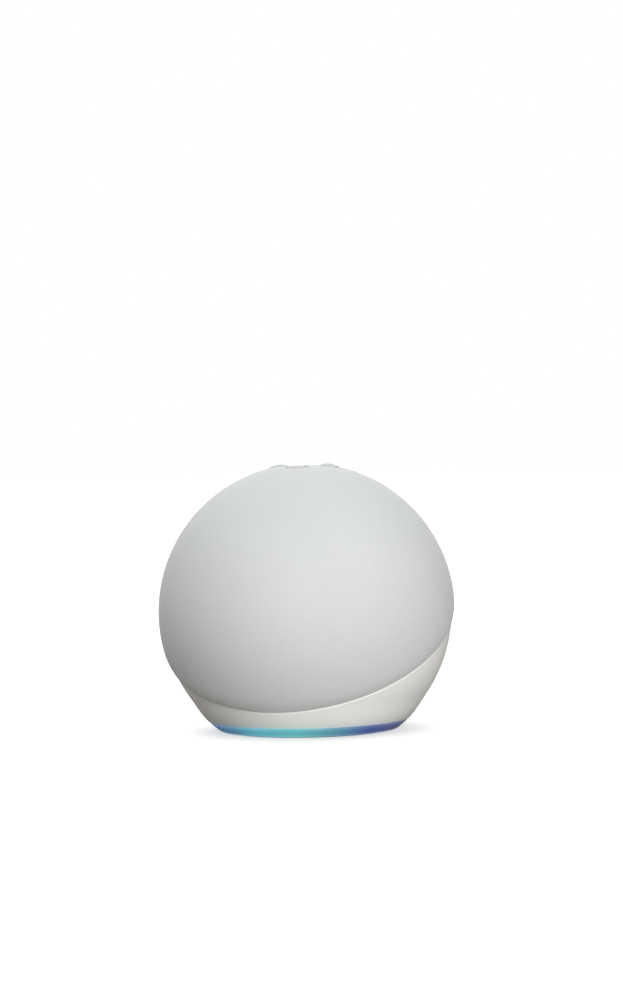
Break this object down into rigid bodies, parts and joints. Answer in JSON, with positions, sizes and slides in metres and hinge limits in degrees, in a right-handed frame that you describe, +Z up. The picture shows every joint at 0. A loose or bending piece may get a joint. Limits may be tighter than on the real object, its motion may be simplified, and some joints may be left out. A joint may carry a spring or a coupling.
{
  "type": "smart speaker",
  "caption": "Spherical tabletop smart speaker with a pale knit front, plastic rear shell, glowing light ring at the base and press buttons on top.",
  "frame": {"origin": "centre of the speaker in plan, on the table under the foot", "axes": "+Z up; the knit front and the speaker driver face -Y; the power inlet is at +Y"},
  "size_m": [0.1, 0.0989, 0.0898],
  "materials": {
    "knit": "soft pale grey knit",
    "shell_plastic": "satin pale grey",
    "button_plastic": "satin pale grey",
    "inner_plastic": "moulded black",
    "diffuser": "milky, lit blue to teal",
    "foot_rubber": "matte grey",
    "soft_black": "matte black",
    "circuit_board": "green solder mask",
    "steel": "bright",
    "aluminium": "satin",
    "ferrite": "dark grey ceramic",
    "cone_paper": "pressed black paper",
    "copper": "enamelled copper wire",
    "led_package": "white with a clear window",
    "polyimide": "amber film"
  },
  "bodies": {
    "housing": {"fabric_cover": "knit", "front_shell": "inner_plastic", "rear_shell": "shell_plastic", "light_ring": "diffuser", "base_plate": "inner_plastic", "foot_pad": "foot_rubber", "base_screw_1": "steel", "base_screw_2": "steel", "base_screw_3": "steel", "base_screw_4": "steel", "board_screw_1": "steel", "board_screw_2": "steel", "board_screw_3": "steel", "board_screw_4": "steel", "enclosure_screw_1": "steel", "enclosure_screw_2": "steel", "led_board": "circuit_board", "led_1": "led_package", "led_2": "led_package", "led_3": "led_package", "led_4": "led_package", "led_5": "led_package", "led_6": "led_package", "led_ribbon": "polyimide", "main_board": "circuit_board", "power_jack": "soft_black", "jack_pin": "steel", "port_bezel": "soft_black", "shield_can": "steel", "heat_sink": "aluminium", "capacitor": "aluminium", "choke": "ferrite", "enclosure_front": "inner_plastic", "enclosure_rear": "inner_plastic", "enclosure_gasket": "soft_black", "driver_basket": "steel", "driver_top_plate": "steel", "driver_magnet": "ferrite", "driver_yoke": "steel", "driver_surround": "soft_black", "driver_spider": "polyimide", "driver_screw_1": "steel", "driver_screw_2": "steel", "driver_screw_3": "steel", "driver_screw_4": "steel", "speaker_lead_1": "copper", "speaker_lead_2": "soft_black", "button_board": "circuit_board", "button_carrier": "inner_plastic", "dome_sheet": "steel", "microphone_1": "steel", "microphone_2": "steel", "button_ribbon": "polyimide"},
    "volume_up_body": {"volume_up_button": "button_plastic"},
    "mute_body": {"mute_button": "button_plastic"},
    "volume_down_body": {"volume_down_button": "button_plastic"},
    "action_body": {"action_button": "button_plastic"},
    "cone_body": {"driver_cone": "cone_paper", "driver_dust_cap": "cone_paper", "driver_coil": "copper"}
  },
  "joints": [
    {"name": "volume_up_press", "type": "slide", "parent": "housing", "child": "volume_up_body", "axis": [0, 0, -1], "range_m": [0, 0.0005], "stiffness_N_per_m": 3000},
    {"name": "mute_press", "type": "slide", "parent": "housing", "child": "mute_body", "axis": [0, 0, -1], "range_m": [0, 0.0005], "stiffness_N_per_m": 3000},
    {"name": "volume_down_press", "type": "slide", "parent": "housing", "child": "volume_down_body", "axis": [0, 0, -1], "range_m": [0, 0.0005], "stiffness_N_per_m": 3000},
    {"name": "action_press", "type": "slide", "parent": "housing", "child": "action_body", "axis": [0, 0, -1], "range_m": [0, 0.0005], "stiffness_N_per_m": 3000},
    {"name": "cone_excursion", "type": "slide", "parent": "housing", "child": "cone_body", "axis": [0, -1, 0], "range_m": [-0.0025, 0.0025], "stiffness_N_per_m": 1500}
  ]
}
